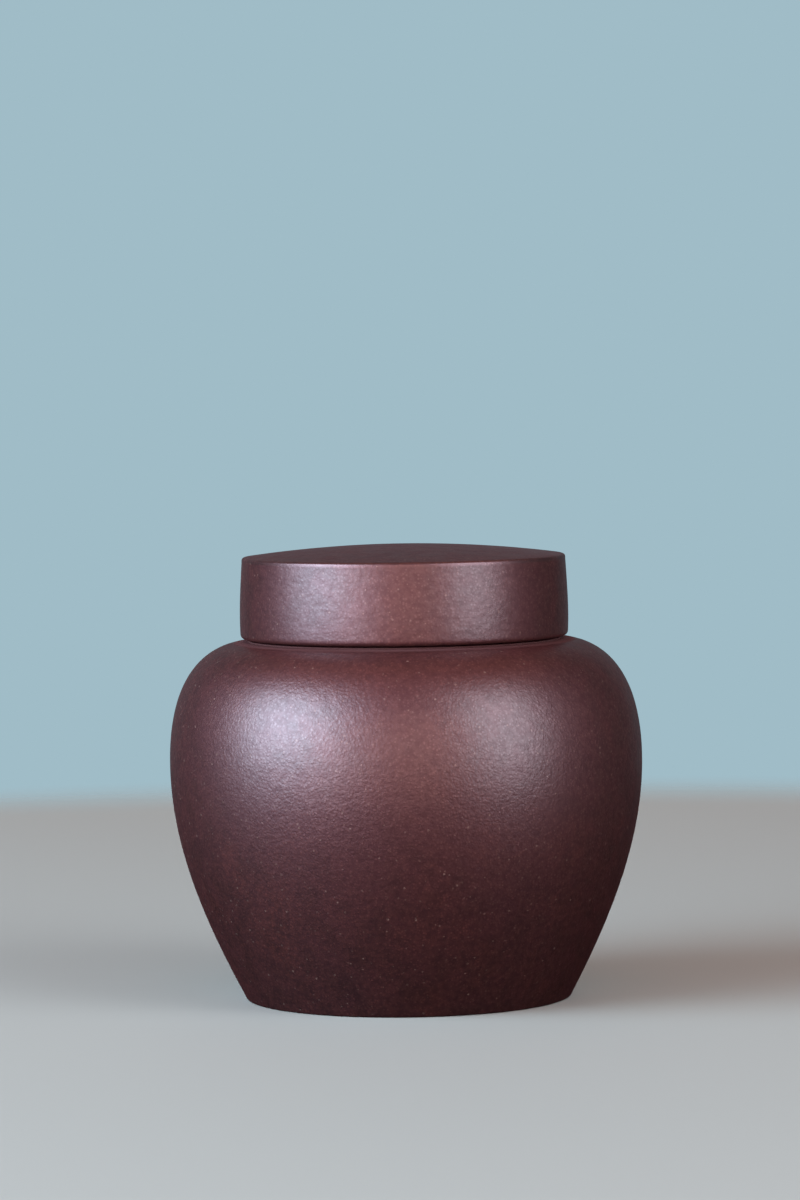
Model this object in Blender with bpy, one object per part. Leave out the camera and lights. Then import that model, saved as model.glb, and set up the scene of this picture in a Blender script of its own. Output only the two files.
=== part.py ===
"""A lidded tea canister in unglazed purple clay: a round-bellied jar and a tall cap lid that drops over its neck.

Units are metres and +Z is up. The origin is the centre of the foot, on the table.
Both pieces are turned shapes: a profile of (radius, height) points is spun once round the Z axis.
The lid's heights count from its hem, and the lid is then placed just above the seat on the jar's shoulder.
"""

from math import acos, atan2, cos, hypot, pi, radians, sin, tan

import bmesh
import bpy

# Jar, outside
BELLY_RADIUS = 0.04614
BELLY_HEIGHT = 0.0463
FOOT_RADIUS = 0.03175
SEAT_HEIGHT = 0.07015
SEAT_SETBACK = 0.0014
SEAT_STEP = 0.00025
SEAT_EDGE_ROUNDING = 0.0001

# Shape of the jar's outer curve: how far under the lid it starts, and shares of the spans from foot to belly and
# from belly to shoulder
SHOULDER_SETBACK = 0.0006
LOWER_WALL_LEAN = 0.535
LOWER_WALL_START = 0.315
LOWER_WALL_FULLNESS = 0.35
UPPER_WALL_FULLNESS = 0.87
SHOULDER_REACH = 0.30
SHOULDER_DROP = 0.006

# Jar, walls and floor
WALL = 0.0030
FLOOR = 0.0032
INSIDE_CORNER_ROUNDING = 0.0050

# Jar, foot
FOOT_RING_WIDTH = 0.0045
FOOT_RECESS = 0.0008
FOOT_RECESS_SLOPE = 0.0006
FOOT_EDGE_ROUNDING = 0.0005

# Jar, neck
NECK_WALL = 0.0028
NECK_HEADROOM = 0.0012
NECK_RIM_ROUNDING = 0.0011
NECK_ROOT_ROUNDING = 0.0003
MOUTH_EDGE_ROUNDING = 0.0013

# Lid
LID_RADIUS = 0.03195
LID_TAPER = 0.00041
LID_SWELL = 0.00032
LID_SIDE_HEIGHT = 0.0158
LID_DOME_RISE = 0.0022
LID_WALL = 0.0030
LID_TOP_THICKNESS = 0.0030
LID_RIM_ROUNDING = 0.0006
LID_HEM_ROUNDING = 0.0009
LID_CEILING_ROUNDING = 0.0015

# How the lid fits the jar
NECK_CLEARANCE = 0.0004
SEAT_GAP = 0.0003

# Fineness of the turned surfaces
TURN_STEPS = 72
WALL_STEPS = 9
DOME_STEPS = 5
ROUNDING_STEPS = 2

# A rounding takes at most this share of the wall whose edge it rounds
MOST_ROUNDING = 0.45

MERGE_DISTANCE = 1e-6
CREASE_ANGLE = radians(40)
CLAY_COLOUR = (0.088, 0.036, 0.034, 1.0)
CLAY_ROUGHNESS = 0.48

# Places that follow from the sizes
lid_place = SEAT_HEIGHT + SEAT_GAP
seat_radius = LID_RADIUS - SEAT_SETBACK
shoulder_radius = LID_RADIUS - SHOULDER_SETBACK
shoulder_height = SEAT_HEIGHT - SEAT_STEP
lid_rim_radius = LID_RADIUS - LID_TAPER
lid_bore_radius = LID_RADIUS - LID_WALL
lid_ceiling_height = LID_SIDE_HEIGHT - LID_TOP_THICKNESS
neck_radius = lid_bore_radius - NECK_CLEARANCE
mouth_radius = neck_radius - NECK_WALL
neck_top = lid_place + lid_ceiling_height - NECK_HEADROOM
floor_top = FOOT_RECESS + FLOOR


def bezier(start, start_handle, end_handle, end, steps):
    """Points and unit tangents along a cubic curve, both ends included."""
    points = []
    tangents = []
    for i in range(steps + 1):
        t = i / steps
        s = 1 - t
        point = []
        slope = []
        for a, b, c, d in zip(start, start_handle, end_handle, end):
            point.append(a * s**3 + 3 * b * s * s * t + 3 * c * s * t * t + d * t**3)
            slope.append((b - a) * s * s + 2 * (c - b) * s * t + (d - c) * t * t)
        length = hypot(*slope)
        points.append(tuple(point))
        tangents.append((slope[0] / length, slope[1] / length))
    return points, tangents


def fillet(before, corner, after, radius):
    """Points of the arc of this radius that rounds a corner between two straight edges."""
    edges = []
    for other in (before, after):
        run = (other[0] - corner[0], other[1] - corner[1])
        length = hypot(*run)
        edges.append((run[0] / length, run[1] / length))
    (ax, az), (bx, bz) = edges
    half = acos(max(-1.0, min(1.0, ax * bx + az * bz))) / 2
    reach = radius / tan(half)
    to_centre = radius / sin(half)
    middle = hypot(ax + bx, az + bz)
    centre = (corner[0] + (ax + bx) / middle * to_centre, corner[1] + (az + bz) / middle * to_centre)
    first = (corner[0] + ax * reach, corner[1] + az * reach)
    last = (corner[0] + bx * reach, corner[1] + bz * reach)
    angle = atan2(first[1] - centre[1], first[0] - centre[0])
    turn = atan2(last[1] - centre[1], last[0] - centre[0]) - angle
    turn = (turn + pi) % (2 * pi) - pi
    return [
        (centre[0] + radius * cos(angle + turn * i / ROUNDING_STEPS),
         centre[1] + radius * sin(angle + turn * i / ROUNDING_STEPS))
        for i in range(ROUNDING_STEPS + 1)
    ]


def rounded(corners):
    """A profile from (radius, height, rounding) corners, where a rounding of 0 leaves the corner as it is."""
    points = []
    for i, (r, z, rounding) in enumerate(corners):
        if rounding:
            points += fillet(corners[i - 1][:2], (r, z), corners[i + 1][:2], rounding)
        else:
            points.append((r, z))
    return points


def cap_arc(edge_radius, edge_height, rise):
    """A shallow dome's profile from its centre to its edge, along a circle through both."""
    sphere = (edge_radius**2 + rise**2) / (2 * rise)
    centre = edge_height + rise - sphere
    edge_angle = atan2(edge_radius, edge_height - centre)
    angles = [edge_angle * i / DOME_STEPS for i in range(DOME_STEPS + 1)]
    return [(sphere * sin(a), centre + sphere * cos(a)) for a in angles]


def outer_wall():
    """The jar's outer curve from below the lid's hem to the foot: its points, and the curve's tangents there."""
    upper, upper_tangents = bezier(
        (shoulder_radius, shoulder_height),
        (shoulder_radius + SHOULDER_REACH * (BELLY_RADIUS - shoulder_radius),
         shoulder_height - SHOULDER_DROP * (shoulder_height - BELLY_HEIGHT)),
        (BELLY_RADIUS, BELLY_HEIGHT + UPPER_WALL_FULLNESS * (shoulder_height - BELLY_HEIGHT)),
        (BELLY_RADIUS, BELLY_HEIGHT),
        WALL_STEPS,
    )
    lower, lower_tangents = bezier(
        (BELLY_RADIUS, BELLY_HEIGHT),
        (BELLY_RADIUS, BELLY_HEIGHT * (1 - LOWER_WALL_FULLNESS)),
        (FOOT_RADIUS + LOWER_WALL_LEAN * (BELLY_RADIUS - FOOT_RADIUS), BELLY_HEIGHT * LOWER_WALL_START),
        (FOOT_RADIUS, 0.0),
        WALL_STEPS,
    )
    return upper + lower[1:], upper_tangents + lower_tangents[1:]


def inner_wall(points, tangents):
    """The outer curve moved in by the wall's thickness, and the corner where it meets the floor."""
    inside = []
    for (r, z), (tr, tz) in zip(points, tangents):
        moved = (r + WALL * tz, z - WALL * tr)
        if moved[1] <= floor_top:
            break
        inside.append(moved)
    above = inside[-1]
    share = (above[1] - floor_top) / (above[1] - moved[1])
    corner = (above[0] + share * (moved[0] - above[0]), floor_top)
    clear_of_corner = [p for p in inside if p[1] > floor_top + INSIDE_CORNER_ROUNDING]
    return clear_of_corner, corner


def jar_profile():
    """From the centre of the inside floor, up the inside, over the neck, down the outside and under the foot."""
    outside, tangents = outer_wall()
    inside, floor_corner = inner_wall(outside, tangents)
    under_shoulder = inside[0][1]
    rim_rounding = min(NECK_RIM_ROUNDING, MOST_ROUNDING * NECK_WALL)
    ring_inner = FOOT_RADIUS - FOOT_RING_WIDTH
    corners = [(0.0, floor_top, 0), (*floor_corner, INSIDE_CORNER_ROUNDING)]
    corners += [(r, z, 0) for r, z in reversed(inside)]
    corners += [
        (mouth_radius, under_shoulder, min(MOUTH_EDGE_ROUNDING, MOST_ROUNDING * WALL)),
        (mouth_radius, neck_top, rim_rounding),
        (neck_radius, neck_top, rim_rounding),
        (neck_radius, SEAT_HEIGHT, NECK_ROOT_ROUNDING),
        (seat_radius, SEAT_HEIGHT, min(SEAT_EDGE_ROUNDING, MOST_ROUNDING * SEAT_STEP)),
        (seat_radius, shoulder_height, 0),
    ]
    corners += [(r, z, 0) for r, z in outside[:-1]]
    corners += [
        (FOOT_RADIUS, 0.0, min(FOOT_EDGE_ROUNDING, MOST_ROUNDING * FOOT_RING_WIDTH)),
        (ring_inner, 0.0, 0),
        (ring_inner - FOOT_RECESS_SLOPE, FOOT_RECESS, 0),
        (0.0, FOOT_RECESS, 0),
    ]
    return rounded(corners)


def lid_profile():
    """From the top of the dome, out to the rim, down the side and under it, and up the bore to the ceiling."""
    dome = cap_arc(lid_rim_radius, LID_SIDE_HEIGHT, LID_DOME_RISE)
    side, _ = bezier(
        (lid_rim_radius, LID_SIDE_HEIGHT),
        (lid_rim_radius + LID_SWELL, LID_SIDE_HEIGHT * 2 / 3),
        (LID_RADIUS + LID_SWELL, LID_SIDE_HEIGHT / 3),
        (LID_RADIUS, 0.0),
        DOME_STEPS,
    )
    ceiling = cap_arc(lid_bore_radius, lid_ceiling_height, LID_DOME_RISE)
    hem_rounding = min(LID_HEM_ROUNDING, MOST_ROUNDING * LID_WALL)
    corners = [(r, z, 0) for r, z in dome[:-1]]
    corners.append((lid_rim_radius, LID_SIDE_HEIGHT, min(LID_RIM_ROUNDING, MOST_ROUNDING * LID_TOP_THICKNESS)))
    corners += [(r, z, 0) for r, z in side[1:-1]]
    corners += [
        (LID_RADIUS, 0.0, hem_rounding),
        (lid_bore_radius, 0.0, hem_rounding),
        (lid_bore_radius, lid_ceiling_height, LID_CEILING_ROUNDING),
    ]
    corners += [(r, z, 0) for r, z in reversed(ceiling[:-1])]
    return rounded(corners)


def clay(name):
    """Fine unglazed clay, fired hard and lightly burnished."""
    material = bpy.data.materials.new(name)
    material.use_nodes = True
    shader = material.node_tree.nodes["Principled BSDF"]
    shader.inputs["Base Color"].default_value = CLAY_COLOUR
    shader.inputs["Roughness"].default_value = CLAY_ROUGHNESS
    shader.inputs["Metallic"].default_value = 0.0
    return material


def turned(name, profile, material):
    """Spins a profile of (radius, height) points once round the Z axis into one closed object."""
    form = bmesh.new()
    verts = [form.verts.new((r, 0.0, z)) for r, z in profile]
    edges = [form.edges.new(pair) for pair in zip(verts, verts[1:])]
    bmesh.ops.spin(form, geom=verts + edges, cent=(0, 0, 0), axis=(0, 0, 1), angle=2 * pi,
                   steps=TURN_STEPS, use_merge=True)
    bmesh.ops.remove_doubles(form, verts=form.verts, dist=MERGE_DISTANCE)
    bmesh.ops.recalc_face_normals(form, faces=form.faces)
    mesh = bpy.data.meshes.new(name)
    form.to_mesh(mesh)
    form.free()
    mesh.materials.append(material)
    mesh.shade_smooth()
    mesh.set_sharp_from_angle(angle=CREASE_ANGLE)
    piece = bpy.data.objects.new(name, mesh)
    bpy.context.scene.collection.objects.link(piece)
    return piece


for old in list(bpy.data.objects):
    bpy.data.objects.remove(old)

jar = turned("jar_body", jar_profile(), clay("jar_clay"))
lid = turned("cap_lid", lid_profile(), clay("lid_clay"))
lid.location.z = lid_place
lid.parent = jar
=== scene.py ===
"""Looks of a lidded tea canister in unglazed purple clay: a round-bellied jar and a tall cap lid over it.

Units are metres and +Z is up. Both pieces are turned surfaces: an outline of (radius, height) points is
carried once round the Z axis, and the potter's hand work is then pressed into it by a few hundredths of a
millimetre.
"""

import logging
from dataclasses import dataclass, field
from enum import Enum
from math import cos, pi, radians, sin

import bpy
import numpy as np
from mathutils import Matrix, Vector
from numpy.typing import NDArray


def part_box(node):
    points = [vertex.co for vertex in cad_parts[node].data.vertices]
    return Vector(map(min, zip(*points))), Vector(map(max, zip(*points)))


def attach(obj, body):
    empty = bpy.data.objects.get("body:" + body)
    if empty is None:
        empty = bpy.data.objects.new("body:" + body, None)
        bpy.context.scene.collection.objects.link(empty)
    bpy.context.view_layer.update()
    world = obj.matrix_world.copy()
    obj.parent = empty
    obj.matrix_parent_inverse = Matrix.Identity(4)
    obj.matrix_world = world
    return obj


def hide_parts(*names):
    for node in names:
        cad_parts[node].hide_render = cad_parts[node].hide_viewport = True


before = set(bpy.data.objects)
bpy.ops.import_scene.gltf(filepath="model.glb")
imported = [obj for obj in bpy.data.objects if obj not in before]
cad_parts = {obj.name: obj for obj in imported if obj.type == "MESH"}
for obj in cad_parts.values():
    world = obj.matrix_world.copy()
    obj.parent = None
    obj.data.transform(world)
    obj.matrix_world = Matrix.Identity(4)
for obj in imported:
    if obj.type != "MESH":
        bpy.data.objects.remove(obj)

Array = NDArray[np.float64]
Colour = tuple[float, float, float]

LOG = logging.getLogger("tea_canister")

TURNS = 480
ROUNDING_ROWS = 6
CURVE_POINTS = 600
CREASE_ANGLE = radians(50)
SAME_POINT = 1e-7

TABLE_RINGS = 12
TABLE_SPOKES = 96

# Most of a noise lies between these
NOISE_RANGE = (0.3, 0.7)

# Handles of the jar's outer curves, as shares of the spans between shoulder, belly and foot
SHOULDER_REACH = 0.30
SHOULDER_DROP = 0.006
UPPER_WALL_FULLNESS = 0.87
LOWER_WALL_FULLNESS = 0.35
LOWER_WALL_LEAN = 0.535
LOWER_WALL_START = 0.315

# Roundings of the edges
FLOOR_ROUNDING = 0.0050
MOUTH_ROUNDING = 0.0013
NECK_RIM_ROUNDING = 0.0011
NECK_ROOT_ROUNDING = 0.0003
SEAT_ROUNDING = 0.0001
FOOT_ROUNDING = 0.0005
RECESS_ROUNDING = 0.0002
LID_RIM_ROUNDING = 0.0006
LID_HEM_ROUNDING = 0.0009
LID_CEILING_ROUNDING = 0.0015


# Outlines and turned surfaces


@dataclass(frozen=True)
class Stretch:
    """One smooth run of an outline.

    Attributes:
        points: Dense (radius, height) points from its start to its end, which is the next stretch's start.
        rows: How many rows of mesh it gets.
        rounding: Radius of the rounded edge where it meets the next stretch, or 0 for a crisp one.
        worked: Share of the hand work that this stretch shows, 1 on the outside and 0 in hidden places.
    """

    points: Array
    rows: int
    rounding: float = 0.0
    worked: float = 0.0


def bezier(start: tuple, start_handle: tuple, end_handle: tuple, end: tuple) -> Array:
    """Points of a cubic curve: the four points weighted by the Bernstein polynomials of t from 0 to 1.

    Args:
        start: First point.
        start_handle: Point that the curve leaves towards.
        end_handle: Point that the curve arrives from.
        end: Last point.

    Returns:
        (CURVE_POINTS, 2) array of points.
    """
    t = np.linspace(0.0, 1.0, CURVE_POINTS)[:, None]
    s = 1.0 - t
    a, b, c, d = (np.asarray(point, dtype=float) for point in (start, start_handle, end_handle, end))
    return a * s**3 + 3 * b * s**2 * t + 3 * c * s * t**2 + d * t**3


def line(start: tuple, end: tuple) -> Array:
    """Points of a straight run: start plus t times the way to end, with t from 0 to 1.

    Args:
        start: First point.
        end: Last point.

    Returns:
        (CURVE_POINTS, 2) array of points.
    """
    t = np.linspace(0.0, 1.0, CURVE_POINTS)[:, None]
    return np.asarray(start, dtype=float) * (1.0 - t) + np.asarray(end, dtype=float) * t


def dome(edge_radius: float, edge_height: float, rise: float) -> Array:
    """Points of a shallow dome from its centre to its edge.

    The circle through both has radius (e squared + rise squared) / (2 rise), e being the edge radius.

    Args:
        edge_radius: Radius of the dome's edge.
        edge_height: Height of the edge.
        rise: How far the centre stands above the edge.

    Returns:
        (CURVE_POINTS, 2) array of points.
    """
    sphere = (edge_radius**2 + rise**2) / (2 * rise)
    angle = np.linspace(0.0, np.arcsin(edge_radius / sphere), CURVE_POINTS)
    return np.stack([sphere * np.sin(angle), edge_height + rise - sphere + sphere * np.cos(angle)], axis=1)


def moved_in(points: Array, distance: float) -> Array:
    """A wall's inner face: each point moved by the distance along the curve's normal, towards the axis.

    Args:
        points: Outer points, from the top down.
        distance: Thickness of the wall.

    Returns:
        Inner points in the same order.
    """
    along = np.gradient(points, axis=0)
    along /= np.linalg.norm(along, axis=1, keepdims=True)
    return points + distance * np.stack([along[:, 1], -along[:, 0]], axis=1)


def run_length(points: Array) -> Array:
    """Length along a polyline from its start to each of its points."""
    return np.concatenate([[0.0], np.cumsum(np.linalg.norm(np.diff(points, axis=0), axis=1))])


def evenly(points: Array, rows: int, start: float, end: float) -> Array:
    """A polyline sampled at equal steps of length between two lengths along it.

    Args:
        points: The polyline.
        rows: Number of samples, both ends included.
        start: Length along it of the first sample.
        end: Length along it of the last sample.

    Returns:
        (rows, 2) array of points.
    """
    length = run_length(points)
    at = np.linspace(start, end, rows)
    return np.stack([np.interp(at, length, points[:, 0]), np.interp(at, length, points[:, 1])], axis=1)


def rounded_edge(before: Array, after: Array, radius: float) -> tuple[Array, float]:
    """The arc that rounds the edge where one stretch ends and the next starts.

    With half the angle between the two at the edge, the arc touches both at radius / tan(half) from the edge,
    and its centre lies at radius / sin(half) on the bisector. On curved stretches that angle depends on where
    the arc touches, so it is worked out three times over.

    Args:
        before: Points of the stretch that ends at the edge.
        after: Points of the stretch that starts there.
        radius: Radius of the rounding.

    Returns:
        Points of the arc, and how much of each stretch it takes.
    """
    corner = after[0]
    reach = radius
    for _ in range(3):
        back = evenly(before[::-1], 2, 0.0, reach)[1] - corner
        ahead = evenly(after, 2, 0.0, reach)[1] - corner
        back, ahead = back / np.linalg.norm(back), ahead / np.linalg.norm(ahead)
        half = np.arccos(np.clip(back @ ahead, -1.0, 1.0)) / 2
        reach = radius / np.tan(half)
    middle = (back + ahead) / np.linalg.norm(back + ahead)
    centre = corner + middle * radius / np.sin(half)
    first, last = corner + back * reach - centre, corner + ahead * reach - centre
    start = np.arctan2(first[1], first[0])
    turn = (np.arctan2(last[1], last[0]) - start + pi) % (2 * pi) - pi
    angle = start + turn * np.linspace(0.0, 1.0, ROUNDING_ROWS)
    return centre + radius * np.stack([np.cos(angle), np.sin(angle)], axis=1), reach


def outline(stretches: list[Stretch]) -> tuple[Array, Array]:
    """Joins stretches into one outline, with its edges rounded.

    Args:
        stretches: The stretches in order. The first starts on the axis and the last ends on it.

    Returns:
        (n, 2) points of the outline, and the share of hand work at each of them.
    """
    points, worked = [], []
    taken = 0.0
    for stretch, following in zip(stretches, [*stretches[1:], None]):
        length = run_length(stretch.points)[-1]
        arc, reach = np.empty((0, 2)), 0.0
        if stretch.rounding:
            arc, reach = rounded_edge(stretch.points, following.points, stretch.rounding)
        even = evenly(stretch.points, stretch.rows, taken, length - reach)
        points += [even if following is None or stretch.rounding == 0 else even[:-1], arc]
        worked += [np.full(len(points[-2]), stretch.worked), np.full(len(arc), stretch.worked)]
        taken = reach
    joined, share = np.concatenate(points), np.concatenate(worked)
    keep = np.concatenate([[True], np.linalg.norm(np.diff(joined, axis=0), axis=1) > SAME_POINT])
    return joined[keep], share[keep]


@dataclass(frozen=True)
class HandWork:
    """How a hand-finished clay surface strays from the true turned form.

    Attributes:
        out_of_round: Depth of the slow unevenness round the piece.
        slow_waves: Number of waves that make it.
        slow_around: Typical count of these round the piece.
        slow_length: Typical length of these along the outline.
        dents: Depth of the shallow marks that burnishing leaves.
        dent_width: Width of these marks.
        dent_waves: Number of waves that make them.
        ripple: Depth of the fine rings that turning leaves.
        ripple_pitch: Distance between the rings.
        ripple_waves: Number of waves that make them.
        ripple_around: Typical count of these round the piece.
        seed: Number that fixes where the marks fall.
    """

    out_of_round: float = 0.000012
    slow_waves: int = 5
    slow_around: float = 2.0
    slow_length: float = 0.12
    dents: float = 0.000003
    dent_width: float = 0.0065
    dent_waves: int = 28
    ripple: float = 0.0000035
    ripple_pitch: float = 0.0021
    ripple_waves: int = 9
    ripple_around: float = 1.2
    seed: int = 3

    def depth(self, angle: Array, run: Array, radius: float) -> Array:
        """How deep the surface lies under the true form, at each row and each angle.

        It is a sum of cosine waves whose count round the piece is whole, so that it closes on itself: slow
        ones for the unevenness, short ones in all directions for the marks, and level ones for the rings.
        The sum is shifted so that it is nowhere above the true form.

        Args:
            angle: Angles round the axis.
            run: Length along the outline of each row.
            radius: Radius at which the marks keep their width.

        Returns:
            (rows, angles) array of depths, none below 0.
        """
        chance = np.random.default_rng(self.seed)
        around, along = radius * 2 * pi / self.dent_width, 2 * pi / self.dent_width
        slow = self._waves(chance, angle, run, self.slow_waves, self.slow_around, 2 * pi / self.slow_length)
        short = self._waves(chance, angle, run, self.dent_waves, around, along)
        rings = self._waves(chance, angle, run, self.ripple_waves, self.ripple_around,
                            2 * pi / self.ripple_pitch)
        total = self.out_of_round * slow + self.dents * short + self.ripple * rings
        return total - total.min()

    @staticmethod
    def _waves(chance: np.random.Generator, angle: Array, run: Array, count: int,
               around: float, along: float) -> Array:
        """Mean-free sum of cosine waves, cos(m angle + q run + phase), scaled to a spread of about 1.

        Args:
            chance: Source of the seeded numbers.
            angle: Angles round the axis.
            run: Length along the outline of each row.
            count: Number of waves.
            around: Typical number of waves round the piece.
            along: Typical wave number along the outline.

        Returns:
            (rows, angles) array.
        """
        m = np.rint(chance.normal(0.0, around, count))[:, None, None]
        q = chance.normal(0.0, along, count)[:, None, None]
        phase = chance.uniform(0.0, 2 * pi, count)[:, None, None]
        waves = np.cos(m * angle[None, None, :] + q * run[None, :, None] + phase)
        return waves.sum(axis=0) * (2 / count) ** 0.5


def turned(name: str, points: Array, worked: Array, work: HandWork) -> bpy.types.Object:
    """A closed turned piece: the outline carried round the axis, with the hand work pressed in.

    The point at row i and angle a is (r cos a, r sin a, z), where (r, z) is the outline's point i moved
    inwards along its normal by the hand work's depth there. The outline's two ends lie on the axis and close
    as poles.

    Args:
        name: Name of the piece.
        points: (n, 2) outline, from pole to pole with the clay on its inner side.
        worked: Share of the hand work at each point.
        work: The hand work.

    Returns:
        The new object, at the origin.
    """
    angle = np.arange(TURNS) * (2 * pi / TURNS)
    along = np.gradient(points, axis=0)
    along /= np.linalg.norm(along, axis=1, keepdims=True)
    outward = np.stack([-along[:, 1], along[:, 0]], axis=1)
    depth = work.depth(angle, run_length(points), points[:, 0].max()) * worked[:, None]
    r = points[:, 0, None] - depth * outward[:, 0, None]
    z = points[:, 1, None] - depth * outward[:, 1, None]
    rows = np.stack([r * np.cos(angle), r * np.sin(angle), np.broadcast_to(z, r.shape)], axis=2)[1:-1]
    first, last = [0.0, 0.0, points[0, 1]], [0.0, 0.0, points[-1, 1]]
    verts = np.concatenate([[first], rows.reshape(-1, 3), [last]])

    count = len(rows)
    ring = np.arange(TURNS)
    next_ring = np.roll(ring, -1)
    base = 1 + np.arange(count - 1)[:, None] * TURNS
    quads = np.stack([base + ring, base + TURNS + ring, base + TURNS + next_ring, base + next_ring], axis=2)
    end = len(verts) - 1
    last_row = 1 + (count - 1) * TURNS
    caps = np.concatenate([
        np.stack([np.zeros_like(ring), 1 + ring, 1 + next_ring], axis=1),
        np.stack([np.full_like(ring, end), last_row + next_ring, last_row + ring], axis=1),
    ])

    mesh = bpy.data.meshes.new(name)
    mesh.from_pydata(verts.tolist(), [], quads.reshape(-1, 4).tolist() + caps.tolist())
    mesh.shade_smooth()
    mesh.set_sharp_from_angle(angle=CREASE_ANGLE)
    piece = bpy.data.objects.new(name, mesh)
    bpy.context.scene.collection.objects.link(piece)
    return piece


# Finishes


class Bench:
    """Puts shader nodes into one node tree and joins them."""

    def __init__(self, tree: bpy.types.NodeTree) -> None:
        """Keeps the tree, emptied of what Blender put there."""
        self.tree = tree
        tree.nodes.clear()

    def node(self, kind: str, inputs: dict | None = None, **settings: object) -> bpy.types.Node:
        """Adds a node.

        Args:
            kind: Blender's type name, without "ShaderNode".
            inputs: Values or output sockets for its inputs, by name or number.
            settings: Its own settings.

        Returns:
            The node.
        """
        made = self.tree.nodes.new("ShaderNode" + kind)
        for setting, value in settings.items():
            setattr(made, setting, value)
        for key, value in (inputs or {}).items():
            if isinstance(value, bpy.types.NodeSocket):
                self.tree.links.new(value, made.inputs[key])
            else:
                made.inputs[key].default_value = value
        return made

    def maths(self, operation: str, *values: object, clamp: bool = False) -> bpy.types.NodeSocket:
        """Result of a Math node on numbers or sockets."""
        return self.node("Math", dict(enumerate(values)), operation=operation, use_clamp=clamp).outputs[0]

    def vector(self, operation: str, output: str, *values: object) -> bpy.types.NodeSocket:
        """Named output of a Vector Math node on vectors or sockets."""
        return self.node("VectorMath", dict(enumerate(values)), operation=operation).outputs[output]

    def spread(self, value: object, low: float, high: float, to_low: float = 0.0,
               to_high: float = 1.0) -> bpy.types.NodeSocket:
        """Brings a value from one range to another, held at its ends, with a soft start and end.

        Args:
            value: Number or socket.
            low: Where the first range starts.
            high: Where it ends.
            to_low: Result at low.
            to_high: Result at high.

        Returns:
            The result's socket.
        """
        made = self.node("MapRange", {"Value": value, "From Min": low, "From Max": high, "To Min": to_low,
                                      "To Max": to_high}, interpolation_type="SMOOTHSTEP")
        return made.outputs["Result"]

    def blend(self, share: object, first: object, second: object) -> bpy.types.NodeSocket:
        """Mixes two colours.

        Args:
            share: Share of the second colour.
            first: Colour or socket.
            second: Colour or socket.

        Returns:
            The mixed colour's socket.
        """
        return self.node("Mix", {0: share, 6: first, 7: second}, data_type="RGBA").outputs[2]

    def noise(self, place: bpy.types.NodeSocket, size: float, detail: float = 2.0,
              roughness: float = 0.5) -> bpy.types.NodeSocket:
        """Noise between 0 and 1.

        Args:
            place: Coordinates in metres.
            size: Size of its features in metres.
            detail: Number of finer layers.
            roughness: Strength of each finer layer.

        Returns:
            The noise's socket.
        """
        made = self.node("TexNoise", {"Vector": place, "Scale": 1 / size, "Detail": detail,
                                      "Roughness": roughness})
        return made.outputs["Fac"]


class Grain(Enum):
    """How the tool marks in the clay run, as a stretch of their pattern in X, Y and Z."""

    SANDY = (1.0, 1.0, 1.0)
    PADDLED = (0.7, 0.7, 1.3)


def with_alpha(colour: Colour) -> tuple[float, float, float, float]:
    """The colour as an opaque RGBA value."""
    return (*colour, 1.0)


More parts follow.
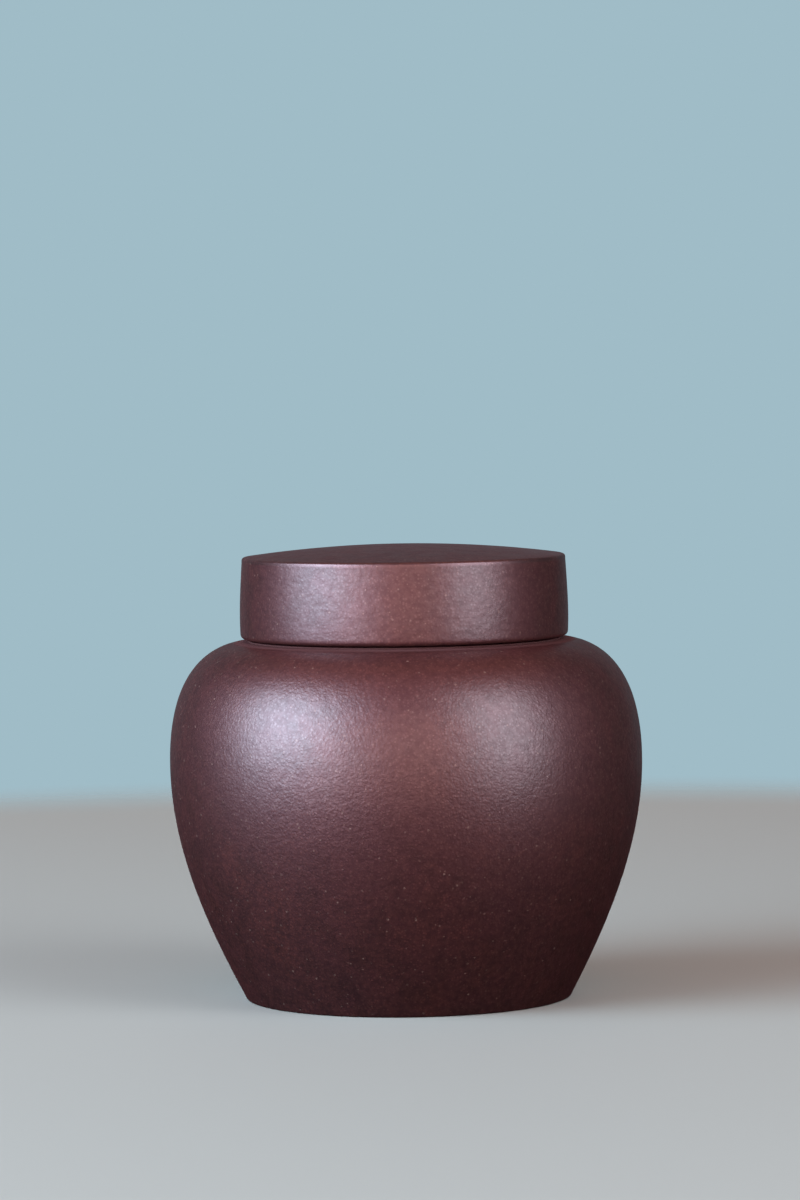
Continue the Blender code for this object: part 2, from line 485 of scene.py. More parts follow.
@dataclass(frozen=True)
class ClayFinish:
    """Unglazed purple clay with sand in it, burnished to a satin and fired hard.

    Attributes:
        slot: Name of the record's material slot.
        grain: How its tool marks run.
        body: Main colour.
        warm: Colour of the redder clouds.
        dark: Colour of the darker clouds.
        cloud_size: Size of the clouds.
        low_tint: What the darkest specks do to the colour under them; it also paints shade between the sand's
            grains.
        high_tint: What the lightest specks do to it; it also paints light on the tops of the sand's grains.
        speck_size: Size of the finest specks.
        grit: Colour of the pale sand grains.
        roughness: Mean roughness of the clay itself.
        roughness_range: How far it strays from the mean, in patches.
        patch_size: Size of these patches.
        index: Its refractive index.
        gloss_tint: Colour of its gloss.
        skin: Share of the surface that burnishing has closed to a satin skin.
        skin_edge: Share that is left where the surface turns away, since the sand hides the skin there.
        turned_away: How far the surface has turned away where that starts, and where it is complete.
        closed: How much the skin's share varies from speck to speck, where it is more or less closed.
        skin_index: Refractive index of the skin.
        skin_roughness: Roughness of the skin.
        grain_size: Size of the finest unevenness.
        grain_depth: Height of it.
        sand_size: Distance between the round grains of sand that stand up under the skin.
        sand_depth: Height of these grains.
        peel_size: Size of the softer unevenness.
        peel_depth: Height of it.
        mark_size: Size of the tool marks.
        mark_depth: Depth of the tool marks.
        ring_pitch: Distance between the turning lines.
        ring_depth: Height of the turning lines.
        grit_size: Distance between the sand grains' cells.
        grit_radius: Radius of the largest grain that shows.
        grit_share: Share of the cells that hold a pale grain.
        rubbed: (radius, height) of each edge that handling and the maker's burnisher have rubbed smooth.
        rubbed_width: How far from the edge the rubbing shows.
        rubbed_share: How strongly it shows.
        rubbed_roughness: Roughness of the clay there.
        rubbed_down: Share of the relief that is rubbed away there.
        bare_with_painted_reflection: (radius, height) of each place that the burnisher can't reach, where the
            lid was ground in and where a pale reflection of the lid's hem is painted.
        bare_and_reflection_width: How far from it the clay is unburnished and the reflection is painted.
        painted_reflection_colour: Painted reflection there: a pale grey that stands in for the lid's hem
            mirrored in the shoulder.
        bare_roughness: Roughness of the clay there.
    """

    slot: str
    grain: Grain = Grain.SANDY
    body: Colour = (0.0310, 0.0116, 0.0084)
    warm: Colour = (0.0430, 0.0138, 0.0092)
    dark: Colour = (0.0240, 0.0104, 0.0082)
    cloud_size: float = 0.017
    low_tint: Colour = (0.34, 0.58, 0.66)
    high_tint: Colour = (1.92, 1.57, 1.44)
    speck_size: float = 0.0011
    grit: Colour = (0.240, 0.165, 0.125)
    roughness: float = 0.60
    roughness_range: float = 0.05
    patch_size: float = 0.004
    index: float = 2.12
    gloss_tint: Colour = (1.0, 0.25, 0.29)
    skin: float = 0.78
    skin_edge: float = 0.21
    turned_away: tuple[float, float] = (0.35, 0.95)
    closed: float = 0.50
    skin_index: float = 2.1
    skin_roughness: float = 0.36
    grain_size: float = 0.00030
    grain_depth: float = 0.000026
    sand_size: float = 0.00058
    sand_depth: float = 0.000027
    peel_size: float = 0.0010
    peel_depth: float = 0.000012
    mark_size: float = 0.0019
    mark_depth: float = 0.000024
    ring_pitch: float = 0.0007
    ring_depth: float = 0.000003
    grit_size: float = 0.0011
    grit_radius: float = 0.00024
    grit_share: float = 0.70
    rubbed: tuple[tuple[float, float], ...] = ()
    rubbed_width: float = 0.0009
    rubbed_share: float = 0.45
    rubbed_roughness: float = 0.24
    rubbed_down: float = 0.7
    bare_with_painted_reflection: tuple[tuple[float, float], ...] = ()
    bare_and_reflection_width: float = 0.0016
    # Painted reflection: pale grey that stands in for the lid's hem mirrored in the shoulder under the seam.
    painted_reflection_colour: Colour = (0.072, 0.050, 0.044)
    bare_roughness: float = 0.85

    def material(self) -> bpy.types.Material:
        """Makes the clay's material, on Object coordinates."""
        made = bpy.data.materials.new(self.slot)
        made.use_nodes = True
        bench = Bench(made.node_tree)
        place = bench.node("TexCoord").outputs["Object"]
        level = bench.vector("MULTIPLY", "Vector", place, (1.0, 1.0, 0.0))
        radius = bench.vector("LENGTH", "Value", level)
        height = bench.node("SeparateXYZ", {"Vector": place}).outputs["Z"]
        section = bench.node("CombineXYZ", {"X": radius, "Y": height}).outputs["Vector"]
        facing = bench.node("LayerWeight", {"Blend": 0.5}).outputs["Facing"]
        grazing = bench.spread(facing, *self.turned_away)
        share = bench.maths("MULTIPLY_ADD", grazing, -self.rubbed_share, self.rubbed_share)
        rubbed = bench.maths("MULTIPLY", self._near(bench, section, self.rubbed, self.rubbed_width), share)
        bare_with_painted_reflection = self._near(bench, section, self.bare_with_painted_reflection, self.bare_and_reflection_width)
        sand = bench.node("TexVoronoi", {"Vector": place, "Scale": 1 / self.sand_size, "Smoothness": 0.1},
                          feature="SMOOTH_F1").outputs
        # Painted light on the sand grains' tops and painted shade between them, mixed with the clay's own
        # fine specks.
        specks_and_painted_grain_light = self._specks_with_painted_grain_light(bench, place, sand)
        # Painted reflection of the lid's hem: the colour turns pale grey over the rings under the seam.
        colour = bench.blend(bare_with_painted_reflection, self._colour(bench, place, specks_and_painted_grain_light), with_alpha(self.painted_reflection_colour))
        relief = bench.maths("MULTIPLY", self._relief(bench, place, section, sand["Distance"]),
                             bench.maths("MULTIPLY_ADD", rubbed, -self.rubbed_down, 1.0))
        bump = bench.node("Bump", {"Strength": 1.0, "Distance": 1.0, "Height": relief})
        shader = bench.node("BsdfPrincipled", {
            "Base Color": colour,
            "Roughness": self._dullness(bench, place, rubbed, bare_with_painted_reflection),
            "IOR": self.index,
            "Specular Tint": with_alpha(self.gloss_tint),
            "Coat Weight": self._closed_skin(bench, specks_and_painted_grain_light, grazing, rubbed, bare_with_painted_reflection),
            "Coat Roughness": self.skin_roughness,
            "Coat IOR": self.skin_index,
            "Normal": bump.outputs["Normal"],
            "Coat Normal": bump.outputs["Normal"],
        })
        bench.node("OutputMaterial", {"Surface": shader.outputs["BSDF"]})
        return made

    def _dullness(self, bench: Bench, place: bpy.types.NodeSocket, rubbed: bpy.types.NodeSocket,
                  bare_with_painted_reflection: bpy.types.NodeSocket) -> bpy.types.NodeSocket:
        """The clay's own roughness: patches round the mean, smoother where rubbed and rougher where bare.

        Args:
            bench: Bench of the material.
            place: Object coordinates.
            rubbed: How rubbed each spot is.
            bare_with_painted_reflection: How bare it is.

        Returns:
            The roughness's socket.
        """
        patches = bench.spread(bench.noise(place, self.patch_size, 3.0, 0.55), *NOISE_RANGE,
                               self.roughness - self.roughness_range, self.roughness + self.roughness_range)
        to_rubbed = bench.maths("SUBTRACT", self.rubbed_roughness, patches)
        worn = bench.maths("MULTIPLY_ADD", rubbed, to_rubbed, patches)
        to_bare = bench.maths("SUBTRACT", self.bare_roughness, worn)
        return bench.maths("MULTIPLY_ADD", bare_with_painted_reflection, to_bare, worn)

    def _closed_skin(self, bench: Bench, specks_and_painted_grain_light: bpy.types.NodeSocket, grazing: bpy.types.NodeSocket,
                     rubbed: bpy.types.NodeSocket, bare_with_painted_reflection: bpy.types.NodeSocket) -> bpy.types.NodeSocket:
        """Share of the satin skin: less where the surface turns away, whole where rubbed and none where bare.

        Args:
            bench: Bench of the material.
            specks_and_painted_grain_light: How light each spot is, with painted light on the sand grains'
                tops and painted shade between them.
            grazing: 1 where the surface has turned away.
            rubbed: How rubbed each spot is.
            bare_with_painted_reflection: How bare it is.

        Returns:
            The share's socket.
        """
        skin = bench.maths("MULTIPLY_ADD", grazing, self.skin_edge - self.skin, self.skin)
        specks = bench.maths("MULTIPLY_ADD", specks_and_painted_grain_light, self.closed, 1 - self.closed / 2)
        skin = bench.maths("MULTIPLY", skin, specks, clamp=True)
        skin = bench.maths("MULTIPLY_ADD", rubbed, bench.maths("SUBTRACT", 1.0, skin), skin)
        return bench.maths("MULTIPLY", skin, bench.maths("SUBTRACT", 1.0, bare_with_painted_reflection))

    def _specks_with_painted_grain_light(self, bench: Bench, place: bpy.types.NodeSocket,
                 sand: bpy.types.bpy_prop_collection) -> bpy.types.NodeSocket:
        """How light each spot is: half of a fine noise for the clay's own specks, plus painted light on the
        tops of the sand's grains, which leaves painted shade between them.

        Each grain's top has a lightness of its own between 0 and 1.

        Args:
            bench: Bench of the material.
            place: Object coordinates.
            sand: Outputs of the sand's cells.

        Returns:
            The value's socket, mostly between 0 and 1.
        """
        fine = bench.spread(bench.noise(place, self.speck_size, 2.0, 0.6), *NOISE_RANGE)
        own = bench.node("SeparateColor", {"Color": sand["Color"]}).outputs["Red"]
        # Painted light: each grain's top is made lighter, which leaves painted shade in the hollows between
        # grains.
        tops = bench.maths("MULTIPLY", bench.spread(sand["Distance"], 0.12, 0.52, 1.0, 0.0), own)
        return bench.maths("MULTIPLY_ADD", tops, 1.0, bench.maths("MULTIPLY", fine, 0.5))

    def _colour(self, bench: Bench, place: bpy.types.NodeSocket,
                specks_and_painted_grain_light: bpy.types.NodeSocket) -> bpy.types.NodeSocket:
        """The clay's colour: slow clouds of redder and darker clay, fine specks with painted light on the
        sand grains' tops and painted shade between them, and pale grains of grit.

        Args:
            bench: Bench of the material.
            place: Object coordinates.
            specks_and_painted_grain_light: How light each spot is, with painted light on the sand grains'
                tops and painted shade between them.

        Returns:
            The colour's socket.
        """
        clouds = bench.noise(place, self.cloud_size, 3.0, 0.6)
        warm = bench.blend(bench.spread(clouds, 0.5, 0.72), with_alpha(self.body), with_alpha(self.warm))
        colour = bench.blend(bench.spread(clouds, 0.48, 0.3), warm, with_alpha(self.dark))
        # The tint carries painted light on the grain tops and painted shade between the grains, as well as
        # the real specks.
        tint = bench.blend(specks_and_painted_grain_light, with_alpha(self.low_tint), with_alpha(self.high_tint))
        colour = bench.vector("MULTIPLY", "Vector", colour, tint)
        cells = bench.node("TexVoronoi", {"Vector": place, "Scale": 1 / self.grit_size})
        near = bench.maths("MULTIPLY", cells.outputs["Distance"], self.grit_size)
        chosen = bench.node("SeparateColor", {"Color": cells.outputs["Color"]})
        size = bench.maths("MULTIPLY", chosen.outputs["Green"], self.grit_radius)
        inside = bench.maths("LESS_THAN", near, size)
        picked = bench.maths("LESS_THAN", chosen.outputs["Red"], self.grit_share)
        paleness = bench.maths("MULTIPLY_ADD", chosen.outputs["Blue"], 0.5, 0.2)
        strength = bench.maths("MULTIPLY", bench.maths("MULTIPLY", inside, picked), paleness)
        return bench.blend(strength, colour, with_alpha(self.grit))

    @staticmethod
    def _near(bench: Bench, section: bpy.types.NodeSocket, rings: tuple[tuple[float, float], ...],
              width: float) -> bpy.types.NodeSocket:
        """1 up to 0.4 of the width from each ring, falling to 0 at the width.

        Args:
            bench: Bench of the material.
            section: Distance from the axis and height, as a vector's X and Y.
            rings: (radius, height) of each ring.
            width: How far from a ring the value reaches 0.

        Returns:
            The value's socket.
        """
        most = bench.node("Value").outputs[0]
        for ring in rings:
            away = bench.vector("DISTANCE", "Value", section, (*ring, 0.0))
            most = bench.maths("MAXIMUM", bench.spread(away, width * 0.4, width, 1.0, 0.0), most)
        return most

    def _relief(self, bench: Bench, place: bpy.types.NodeSocket, section: bpy.types.NodeSocket,
                sand: bpy.types.NodeSocket) -> bpy.types.NodeSocket:
        """Height of the fine relief in metres: grain, sand, softer unevenness, tool marks and turning lines.

        A grain of sand is highest at its cell's middle and falls with the distance from it. The turning lines
        are noise that reads only the distance from the axis and the height, so they run as rings on the lid's
        top and level round the walls.

        Args:
            bench: Bench of the material.
            place: Object coordinates.
            section: Distance from the axis and height, as a vector's X and Y.
            sand: Distance from the middle of each grain of sand, in cells.

        Returns:
            The height's socket.
        """
        stretched = bench.vector("MULTIPLY", "Vector", place, self.grain.value)
        grains = bench.noise(place, self.grain_size, 1.0, 0.5)
        peel = bench.noise(stretched, self.peel_size, 1.0, 0.5)
        marks = bench.noise(stretched, self.mark_size, 1.0, 0.5)
        rings = bench.noise(section, self.ring_pitch, 3.0, 0.6)
        total = bench.maths("MULTIPLY", grains, self.grain_depth)
        total = bench.maths("MULTIPLY_ADD", sand, -self.sand_depth, total)
        total = bench.maths("MULTIPLY_ADD", peel, self.peel_depth, total)
        total = bench.maths("MULTIPLY_ADD", marks, self.mark_depth, total)
        return bench.maths("MULTIPLY_ADD", rings, self.ring_depth, total)


# The canister's pieces


@dataclass
class JarBody:
    """The jar: round belly, flat shoulder with a low seat for the lid, upright neck, and a foot ring.

    Attributes:
        belly_radius: Widest radius.
        belly_height: Height of the widest place.
        foot_radius: Radius of the foot.
        seat_radius: Radius of the lid's seat.
        shoulder_radius: Radius at which the shoulder's curve starts, just under the lid's hem.
        seat_height: Height of the lid's seat.
        seat_step: How far the seat stands above the shoulder.
        neck_radius: Outer radius of the neck.
        neck_top: Height of the neck's rim.
        neck_wall: Thickness of the neck.
        wall: Thickness of the body.
        floor: Thickness of the floor.
        foot_ring: Width of the foot ring.
        foot_recess: Depth of the recess inside it.
        recess_slope: How far the recess's side leans inwards.
        finish: Its clay.
        work: Its hand work.
    """

    belly_radius: float
    neck_top: float
    finish: ClayFinish
    belly_height: float = 0.0463
    foot_radius: float = 0.03175
    seat_radius: float = 0.03055
    shoulder_radius: float = 0.03135
    seat_height: float = 0.07015
    seat_step: float = 0.00025
    neck_radius: float = 0.02855
    neck_wall: float = 0.0028
    wall: float = 0.0030
    floor: float = 0.0032
    foot_ring: float = 0.0045
    foot_recess: float = 0.0008
    recess_slope: float = 0.0006
    work: HandWork = field(default_factory=HandWork)

    def outer_curves(self) -> tuple[Array, Array]:
        """The shoulder's curve down to the belly, and the lower wall's from the belly to the foot."""
        shoulder = self.seat_height - self.seat_step
        rise = shoulder - self.belly_height
        reach = self.belly_radius - self.shoulder_radius
        bulge = self.belly_radius - self.foot_radius
        upper = bezier(
            (self.shoulder_radius, shoulder),
            (self.shoulder_radius + SHOULDER_REACH * reach, shoulder - SHOULDER_DROP * rise),
            (self.belly_radius, self.belly_height + UPPER_WALL_FULLNESS * rise),
            (self.belly_radius, self.belly_height),
        )
        lower = bezier(
            (self.belly_radius, self.belly_height),
            (self.belly_radius, self.belly_height * (1 - LOWER_WALL_FULLNESS)),
            (self.foot_radius + LOWER_WALL_LEAN * bulge, self.belly_height * LOWER_WALL_START),
            (self.foot_radius, 0.0),
        )
        return upper, lower

    def stretches(self) -> list[Stretch]:
        """The outline: inside floor, inside wall, mouth, neck, seat, outside wall, foot ring and recess."""
        upper, lower = self.outer_curves()
        shoulder = self.seat_height - self.seat_step
        outside = np.concatenate([upper, lower[1:]])
        inside = moved_in(outside, self.wall)
        floor_top = self.foot_recess + self.floor
        inside = inside[inside[:, 1] > floor_top]
        mouth = self.neck_radius - self.neck_wall
        under_shoulder = inside[0]
        floor_edge = (inside[-1][0], floor_top)
        ring_inner = self.foot_radius - self.foot_ring
        recess_edge = (ring_inner - self.recess_slope, self.foot_recess)
        inside_up = np.concatenate([[floor_edge], inside[::-1]])
        return [
            Stretch(line((0.0, floor_top), floor_edge), rows=6, rounding=FLOOR_ROUNDING),
            Stretch(inside_up, rows=20),
            Stretch(line(tuple(under_shoulder), (mouth, under_shoulder[1])), rows=4, rounding=MOUTH_ROUNDING),
            Stretch(line((mouth, under_shoulder[1]), (mouth, self.neck_top)), rows=6,
                    rounding=NECK_RIM_ROUNDING),
            Stretch(line((mouth, self.neck_top), (self.neck_radius, self.neck_top)), rows=3,
                    rounding=NECK_RIM_ROUNDING),
            Stretch(line((self.neck_radius, self.neck_top), (self.neck_radius, self.seat_height)), rows=6,
                    rounding=NECK_ROOT_ROUNDING),
            Stretch(line((self.neck_radius, self.seat_height), (self.seat_radius, self.seat_height)), rows=4,
                    rounding=SEAT_ROUNDING),
            Stretch(line((self.seat_radius, self.seat_height), (self.seat_radius, shoulder)), rows=3),
            Stretch(line((self.seat_radius, shoulder), (self.shoulder_radius, shoulder)), rows=4),
            Stretch(upper, rows=42, worked=1.0),
            Stretch(lower, rows=62, worked=1.0, rounding=FOOT_ROUNDING),
            Stretch(line((self.foot_radius, 0.0), (ring_inner, 0.0)), rows=5, rounding=RECESS_ROUNDING),
            Stretch(line((ring_inner, 0.0), recess_edge), rows=3, rounding=RECESS_ROUNDING),
            Stretch(line(recess_edge, (0.0, self.foot_recess)), rows=6),
        ]

    def build(self) -> bpy.types.Object:
        """Builds the jar's mesh, ties it to its body and hides its CAD node."""
        points, worked = outline(self.stretches())
        piece = turned("jar_clay_body", points, worked, self.work)
        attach(piece, "jar")
        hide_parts("jar_body")
        self.dress(piece)
        return piece

    def dress(self, piece: bpy.types.Object) -> None:
        """Gives the jar its clay."""
        piece.data.materials.append(self.finish.material())


@dataclass
class CapLid:
    """The lid: a tall cap with a gently domed top and a slightly swelling side.

    Attributes:
        hem_height: Height of its hem, just above the jar's seat.
        top_height: Height of the dome's centre.
        radius: Radius at the hem.
        taper: How much narrower the rim is than the hem.
        swell: How far the side swells between them.
        dome_rise: How far the dome stands above the rim.
        wall: Thickness of the side.
        top_thickness: Thickness of the top.
        top_worked: Share of the hand work that the top shows.
        finish: Its clay.
        work: Its hand work.
    """

    hem_height: float
    top_height: float
    finish: ClayFinish
    radius: float = 0.03195
    taper: float = 0.00041
    swell: float = 0.00032
    dome_rise: float = 0.0022
    wall: float = 0.0030
    top_thickness: float = 0.0030
    top_worked: float = 0.6
    work: HandWork = field(default_factory=HandWork)

    def stretches(self) -> list[Stretch]:
        """The outline: domed top, side, hem, bore and ceiling."""
        rim_radius = self.radius - self.taper
        rim_height = self.top_height - self.dome_rise
        side = rim_height - self.hem_height
        bore = self.radius - self.wall
        ceiling = rim_height - self.top_thickness
        return [
            Stretch(dome(rim_radius, rim_height, self.dome_rise), rows=56, worked=self.top_worked,
                    rounding=LID_RIM_ROUNDING),
            Stretch(bezier(
                (rim_radius, rim_height),
                (rim_radius + self.swell, rim_height - side / 3),
                (self.radius + self.swell, rim_height - side * 2 / 3),
                (self.radius, self.hem_height),
            ), rows=34, worked=1.0, rounding=LID_HEM_ROUNDING),
            Stretch(line((self.radius, self.hem_height), (bore, self.hem_height)), rows=4,
                    rounding=LID_HEM_ROUNDING),
            Stretch(line((bore, self.hem_height), (bore, ceiling)), rows=8, rounding=LID_CEILING_ROUNDING),
            Stretch(dome(bore, ceiling, self.dome_rise)[::-1], rows=14),
        ]

    def build(self) -> bpy.types.Object:
        """Builds the lid's mesh, ties it to its body and hides its CAD node."""
        points, worked = outline(self.stretches())
        piece = turned("lid_clay_cap", points, worked, self.work)
        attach(piece, "lid")
        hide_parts("cap_lid")
        self.dress(piece)
        return piece

    def dress(self, piece: bpy.types.Object) -> None:
        """Gives the lid its clay."""
        piece.data.materials.append(self.finish.material())


# The studio


@dataclass(frozen=True)
class Softbox:
    """One soft lamp that faces the canister.

    Attributes:
        name: Name of the lamp.
        bearing: Degrees round from the camera, positive to its right.
        climb: Degrees above the table.
        distance: Distance from the canister.
        width: Width of its face.
        height: Height of its face.
        glow: Radiance of the middle of its face, where 1 is the level of a white wall.
        fade: Share of the face, inwards from each edge, over which it dims to nothing.
        mirrored: Whether reflections show it.
    """

    name: str
    bearing: float
    climb: float
    distance: float
    width: float
    height: float
    glow: Colour
    fade: float = 0.4
    mirrored: bool = True

    def build(self, aim: Vector) -> bpy.types.Object:
        """Makes the lamp: its power is radiance times pi times the area of its face.

        The face dims towards its edges by the product of two soft steps, one of the distance to the nearer
        side and one of the distance to the nearer end.

        Args:
            aim: Point that it faces.

        Returns:
            The lamp.
        """
        light = bpy.data.lights.new(self.name, "AREA")
        light.shape = "RECTANGLE"
        light.size, light.size_y = self.width, self.height
        peak = max(self.glow)
        light.energy = peak * pi * self.width * self.height
        light.color = [channel / peak for channel in self.glow]
        light.use_nodes = True
        bench = Bench(light.node_tree)
        place = bench.node("NewGeometry").outputs["Parametric"]
        across = bench.node("SeparateXYZ", {"Vector": place}).outputs
        edges = []
        for axis in ("X", "Y"):
            nearer = bench.maths("MINIMUM", across[axis], bench.maths("SUBTRACT", 1.0, across[axis]))
            edges.append(bench.spread(nearer, 0.0, self.fade))
        face = bench.node("Emission", {"Strength": bench.maths("MULTIPLY", *edges)})
        bench.node("OutputLight", {"Surface": face.outputs[0]})
        bearing, climb = radians(self.bearing), radians(self.climb)
        away = Vector((sin(bearing) * cos(climb), -cos(bearing) * cos(climb), sin(climb)))
        lamp = bpy.data.objects.new(self.name, light)
        lamp.location = aim + away * self.distance
        lamp.rotation_mode = "QUATERNION"
        lamp.rotation_quaternion = (-away).to_track_quat("-Z", "Y")
        lamp.visible_glossy = self.mirrored
        bpy.context.scene.collection.objects.link(lamp)
        return lamp


@dataclass
class Studio:
    """Pale table and backdrop, two soft lamps at the sides, dimmer ones in front and behind, and the camera.

    Attributes:
        backdrop: Colour of the backdrop.
        room: Radiance of the dim room in front of the backdrop.
        ceiling: Radiance of the ceiling.
        behind: How much a way points backwards where the backdrop starts, and where it has risen, 1 at most.
        overhead: How much a way points upwards where the ceiling starts, and where it has risen.
        backdrop_mirrored: Share of the backdrop's look that reflections show.
        table: Colour of the table top.
        table_dim: Colour of the table top for the light that it sends back to the canister.
        mirrored_near: Share of the pale table's look that reflections show beside the canister's foot, kept
            low there as painted shade round the foot.
        mirrored_far: Share that they show further out.
        mirrored_from: Radius at which the share starts to rise.
        mirrored_to: Radius at which it has risen.
        table_edge: Radius at which the table starts to fade into the backdrop.
        table_end: Radius at which it has gone.
        lamps: The lamps.
        lamp_aim: Height of the point that they face.
        camera_distance: How far the camera stands in front of the canister's axis.
        camera_height: How high it stands above the table.
        pitch: Degrees that it looks down.
        pan: Degrees that it looks to the left.
        roll: Degrees that it leans.
        lens: Focal length in millimetres on a 36 mm long side.
    """

    backdrop: Colour = (0.352, 0.503, 0.571)
    room: Colour = (0.038, 0.047, 0.051)
    ceiling: Colour = (0.285, 0.105, 0.080)
    behind: tuple[float, float] = (0.75, 0.97)
    overhead: tuple[float, float] = (0.6, 0.85)
    backdrop_mirrored: float = 0.6
    table: Colour = (0.60, 0.63, 0.56)
    table_dim: Colour = (0.016, 0.014, 0.013)
    mirrored_near: float = 0.005
    mirrored_far: float = 0.07
    mirrored_from: float = 0.05
    mirrored_to: float = 0.20
    table_edge: float = 0.38
    table_end: float = 0.48
    lamps: tuple[Softbox, ...] = (
        Softbox("lamp_left", -62.3, 21.3, 1.2, 1.50, 1.50, (5.25, 6.85, 8.55)),
        Softbox("lamp_right", 49.5, 20.5, 1.2, 1.16, 1.95, (3.30, 3.50, 4.0)),
        Softbox("fill_left", -34.0, -8.2, 1.2, 0.82, 2.15, (2.90, 2.36, 2.68)),
        Softbox("fill_middle", 4.0, 6.0, 1.2, 1.73, 1.75, (1.11, 0.69, 0.60)),
        Softbox("fill_back", 180.0, 10.0, 1.2, 1.3, 1.0, (2.2, 2.1, 2.1), mirrored=False),
    )
    lamp_aim: float = 0.045
    camera_distance: float = 0.9426
    camera_height: float = 0.1283
    pitch: float = 3.081
    pan: float = 0.046
    roll: float = -0.78
    lens: float = 145.16

    def build(self) -> None:
        """Builds the table, the world, the lamps and the camera."""
        self._table()
        self._world()
        for lamp in self.lamps:
            lamp.build(Vector((0.0, 0.0, self.lamp_aim)))
        self._camera()

    def _table(self) -> None:
        """A round pale table top that fades into the backdrop: a flat ring grid round the axis."""
        radius = np.linspace(0.0, self.table_end, TABLE_RINGS + 1)[1:, None]
        angle = np.arange(TABLE_SPOKES) * (2 * pi / TABLE_SPOKES)
        level = np.zeros((TABLE_RINGS, TABLE_SPOKES))
        rings = np.stack([radius * np.cos(angle), radius * np.sin(angle), level], axis=2)
        verts = np.concatenate([[[0.0, 0.0, 0.0]], rings.reshape(-1, 3)])
        ring = np.arange(TABLE_SPOKES)
        next_ring = np.roll(ring, -1)
        base = 1 + np.arange(TABLE_RINGS - 1)[:, None] * TABLE_SPOKES
        outer = base + TABLE_SPOKES
        quads = np.stack([base + ring, outer + ring, outer + next_ring, base + next_ring], axis=2)
        middle = np.stack([np.zeros_like(ring), 1 + ring, 1 + next_ring], axis=1)
        mesh = bpy.data.meshes.new("table_top")
        mesh.from_pydata(verts.tolist(), [], quads.reshape(-1, 4).tolist() + middle.tolist())
        table = bpy.data.objects.new("table_top", mesh)
        bpy.context.scene.collection.objects.link(table)
        mesh.materials.append(self._table_material())

    def _table_material(self) -> bpy.types.Material:
        """Matt table top: pale to the camera, far darker in reflections and in the light it sends back."""
        made = bpy.data.materials.new("table_matt")
        made.use_nodes = True
        bench = Bench(made.node_tree)
        place = bench.node("TexCoord").outputs["Object"]
        radius = bench.vector("LENGTH", "Value", place)
        # Painted shade: reflections show the table darker close to the canister's foot than further out.
        mirrored = bench.spread(radius, self.mirrored_from, self.mirrored_to, self.mirrored_near,
                                self.mirrored_far)
        seen = self._seen(bench, mirrored)
        colour = bench.blend(seen, with_alpha(self.table_dim), with_alpha(self.table))
        fade = bench.spread(radius, self.table_edge, self.table_end)
        matt = bench.node("BsdfDiffuse", {"Color": colour})
        gone = bench.node("BsdfTransparent")
        top = bench.node("MixShader", {0: fade, 1: matt.outputs[0], 2: gone.outputs[0]})
        bench.node("OutputMaterial", {"Surface": top.outputs[0]})
        return made

    @staticmethod
    def _seen(bench: Bench, mirrored: bpy.types.NodeSocket) -> bpy.types.NodeSocket:
        """1 for what the camera sees straight, a share in reflections and through glass, 0 for plain light.

        Args:
            bench: Bench of the material.
            mirrored: The share.

        Returns:
            The value's socket.
        """
        path = bench.node("LightPath").outputs
        reflected = bench.maths("MAXIMUM", path["Is Glossy Ray"], path["Is Transmission Ray"])
        return bench.maths("MAXIMUM", path["Is Camera Ray"], bench.maths("MULTIPLY", reflected, mirrored))

    def _world(self) -> None:
        """Pale backdrop for the camera and behind the canister in reflections, in a dim, warm-topped room."""
        world = bpy.data.worlds.new("studio")
        world.use_nodes = True
        bench = Bench(world.node_tree)
        way = bench.node("SeparateXYZ", {"Vector": bench.node("TexCoord").outputs["Generated"]}).outputs
        behind = bench.spread(way["Y"], *self.behind)
        seen = self._seen(bench, bench.maths("MULTIPLY", behind, self.backdrop_mirrored))
        overhead = bench.spread(way["Z"], *self.overhead)
        room = bench.blend(overhead, with_alpha(self.room), with_alpha(self.ceiling))
        colour = bench.blend(seen, room, with_alpha(self.backdrop))
        background = bench.node("Background", {"Color": colour, "Strength": 1.0})
        bench.node("OutputWorld", {"Surface": background.outputs[0]})
        bpy.context.scene.world = world

    def _camera(self) -> None:
        """The camera at the photograph's place: turned by pan, pitch and roll, in that order."""
        lens = bpy.data.cameras.new("camera")
        lens.sensor_fit = "AUTO"
        lens.sensor_width = 36.0
        lens.lens = self.lens
        camera = bpy.data.objects.new("camera", lens)
        turn = (
            Matrix.Rotation(radians(self.pan), 4, "Z")
            @ Matrix.Rotation(radians(90.0 - self.pitch), 4, "X")
            @ Matrix.Rotation(radians(self.roll), 4, "Z")
        )
        camera.matrix_world = Matrix.Translation((0.0, -self.camera_distance, self.camera_height)) @ turn
        bpy.context.scene.collection.objects.link(camera)
        bpy.context.scene.camera = camera


def jar_clay() -> ClayFinish:
    """The jar's clay, unburnished on the seat's edge and the shoulder's start, where the lid was ground in,
    with a pale reflection of the lid's hem painted there.
    """
    return ClayFinish("jar_clay", bare_with_painted_reflection=((0.0304, 0.0700), (0.0322, 0.0699)))


def lid_clay() -> ClayFinish:
    """The lid's clay, with flatter sand and deeper tool marks than the jar's, and its rim rubbed bright."""
    return ClayFinish(
        "lid_clay",
        grain=Grain.PADDLED,
        skin=0.69,
        skin_edge=0.23,
        grain_depth=0.000012,
        sand_depth=0.000014,
        peel_depth=0.000025,
        mark_size=0.0022,
        mark_depth=0.000041,
        rubbed=((0.0315, 0.0861),),
    )


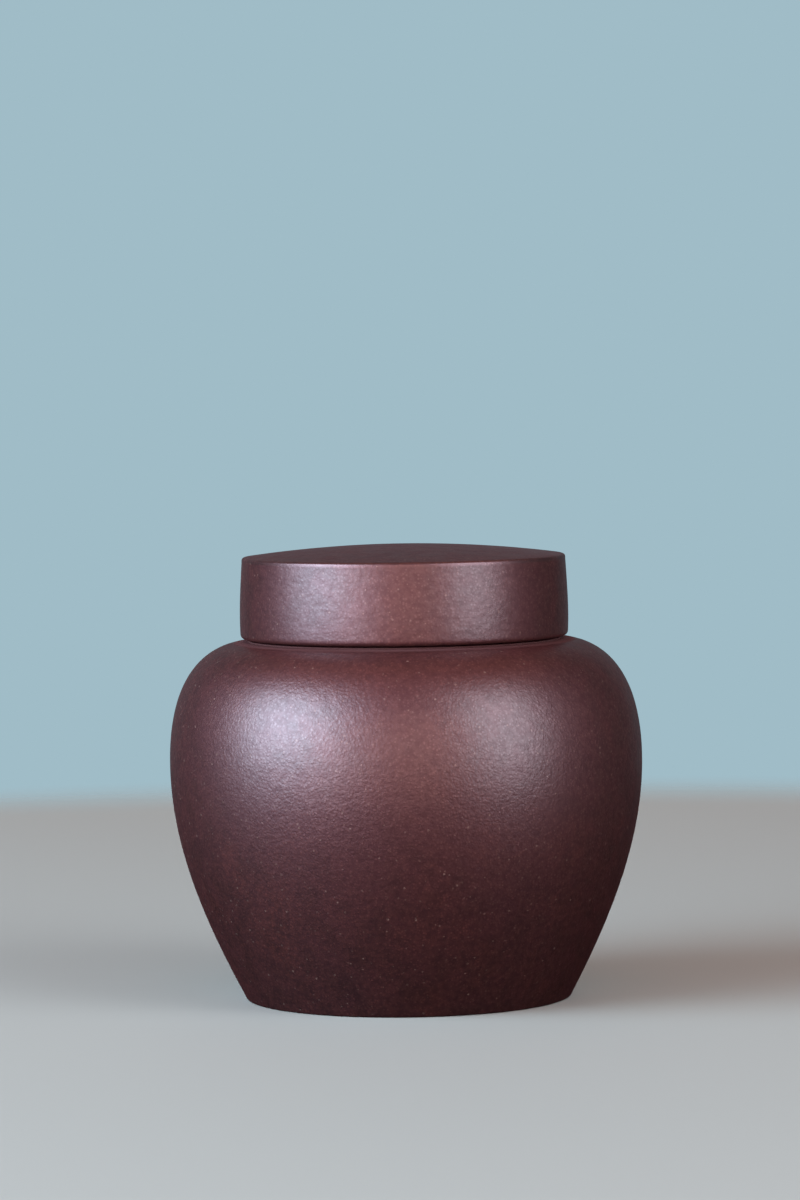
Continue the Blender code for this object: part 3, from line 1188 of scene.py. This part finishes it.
def main() -> None:
    """Builds the studio and the canister's two pieces."""
    logging.basicConfig(level=logging.INFO, format="%(name)s: %(message)s")
    bpy.context.scene.view_settings.view_transform = "Standard"
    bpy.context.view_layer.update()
    Studio().build()
    jar_box, lid_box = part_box("jar_body"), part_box("cap_lid")
    jar = JarBody(belly_radius=jar_box[1].x, neck_top=jar_box[1].z, finish=jar_clay())
    lid = CapLid(hem_height=lid_box[0].z, top_height=lid_box[1].z, finish=lid_clay())
    pieces = [jar.build(), lid.build()]
    for piece in pieces:
        LOG.info("%s has %d faces", piece.name, len(piece.data.polygons))


if __name__ == "__main__":
    main()
